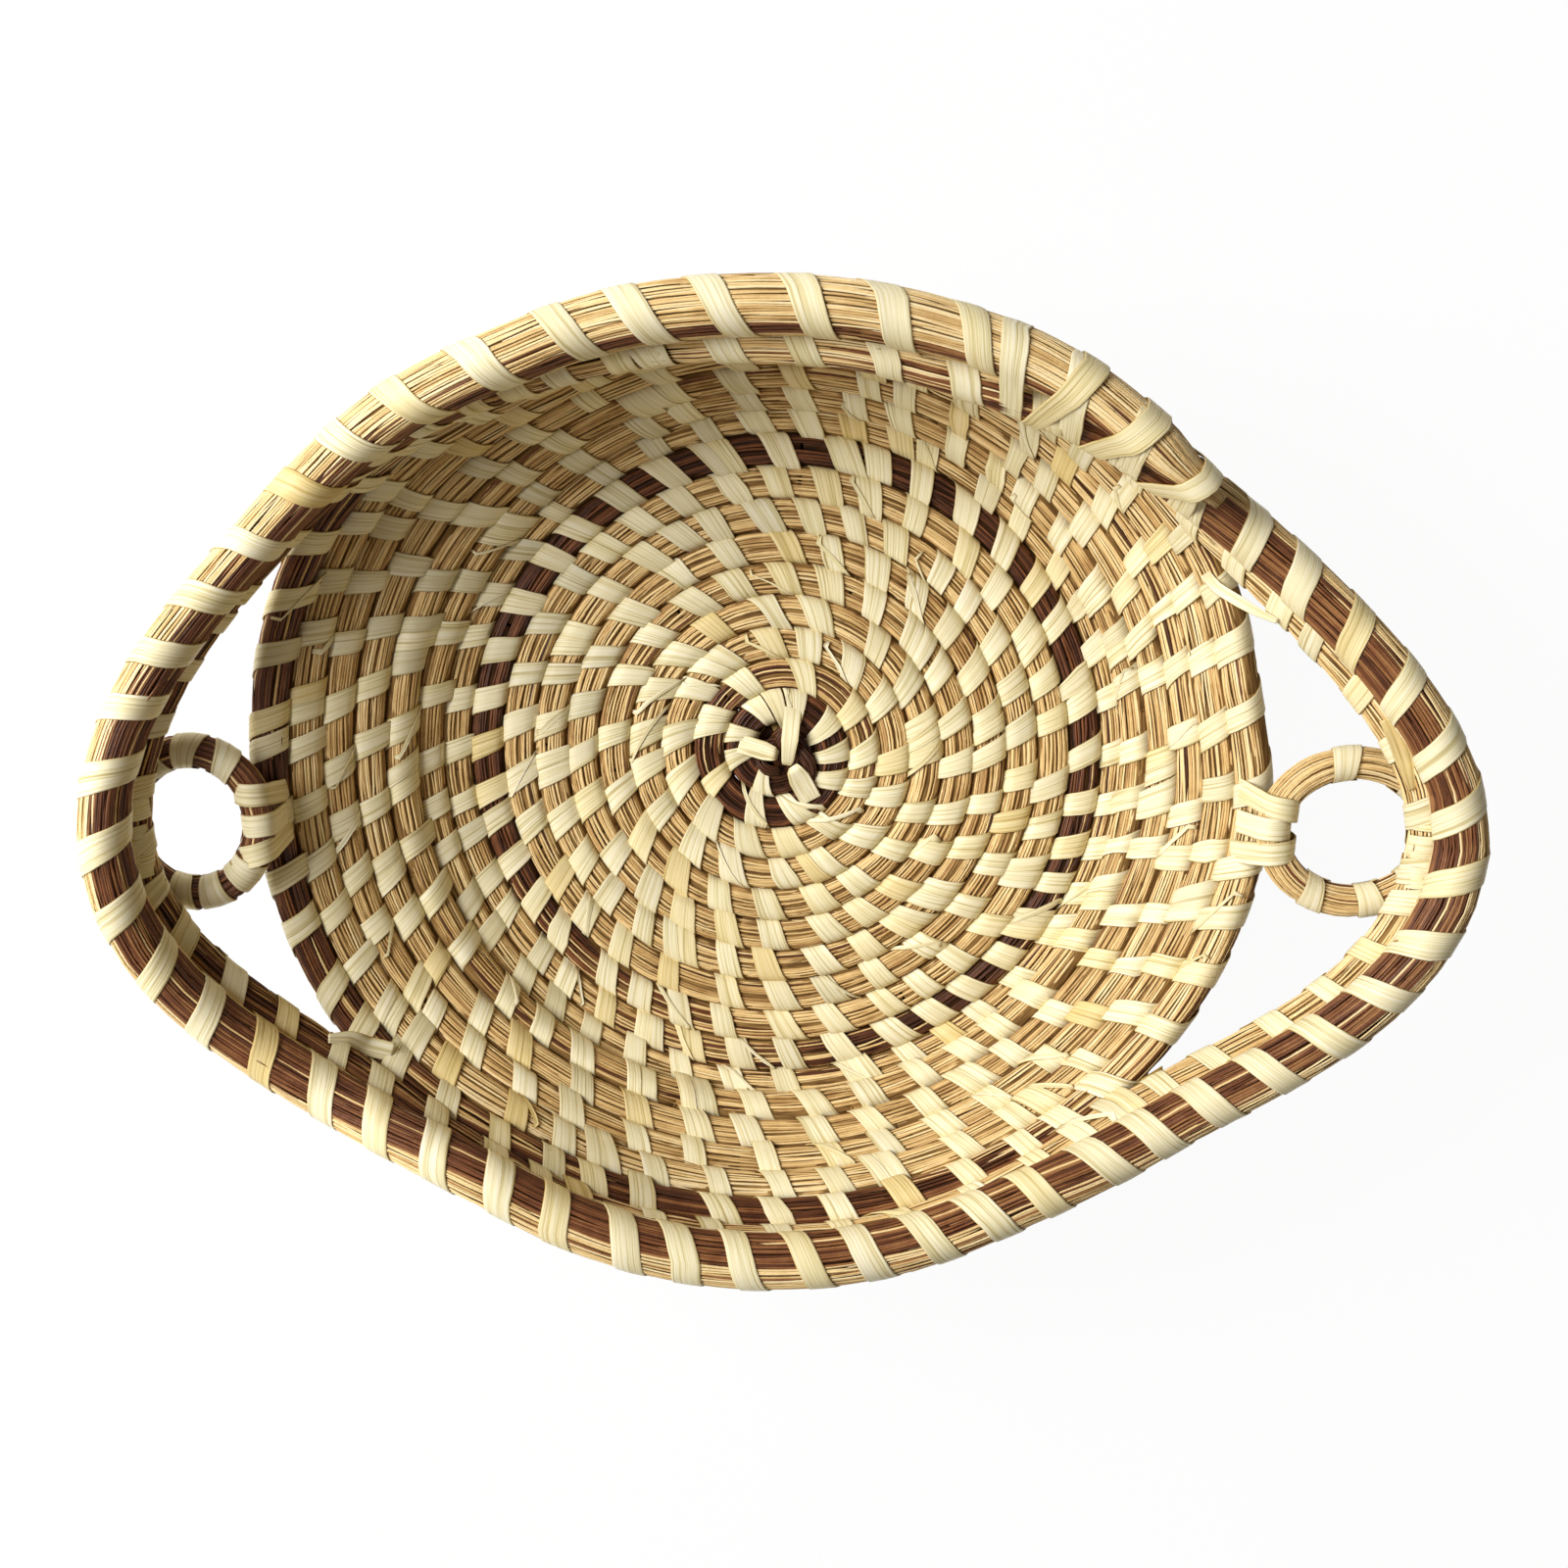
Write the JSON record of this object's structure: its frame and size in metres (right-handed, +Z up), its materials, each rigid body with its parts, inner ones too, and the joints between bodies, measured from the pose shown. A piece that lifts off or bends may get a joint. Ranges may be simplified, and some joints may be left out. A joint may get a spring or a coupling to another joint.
{
  "type": "coiled sweetgrass basket",
  "caption": "Shallow oval coiled basket of sweetgrass and pine needles bound with palm leaf, with a bowed handle and a lashed ring at each end.",
  "frame": {"origin": "centre of the basket's outline, on the surface that it stands on", "axes": "+Z up; X along the two handles, with the pale ring at +X and the dark ring at -X; -Y is the near side in the picture"},
  "size_m": [0.3572, 0.259, 0.0837],
  "materials": {
    "sweetgrass": "bundle of dried sweetgrass blades, golden tan, satin",
    "brown_grass": "bundle of aged brown grass, satin",
    "pine_needle": "bundle of dried longleaf pine needles, dark red-brown, slightly glossy",
    "palmetto": "dried palmetto leaf strip, pale cream with fine parallel veins, satin"
  },
  "bodies": {
    "root": {"starting_knot": "pine_needle", "pine_start_coil": "pine_needle", "base_coil": "sweetgrass", "base_pine_band": "pine_needle", "wall_coil": "sweetgrass", "body_rim_pine": "pine_needle", "handle_row_right": "sweetgrass", "handle_row_left": "brown_grass", "rim_coil": "sweetgrass", "rim_start_binding": "palmetto", "rim_binding": "palmetto", "rim_splice_tie": "palmetto", "rim_splice_cross_tie": "palmetto", "ring_left": "pine_needle", "ring_left_binding": "palmetto", "ring_left_body_lashing": "palmetto", "ring_left_handle_lashing": "palmetto", "ring_right": "sweetgrass", "ring_right_binding": "palmetto", "ring_right_body_lashing": "palmetto", "ring_right_handle_lashing": "palmetto"}
  },
  "joints": []
}
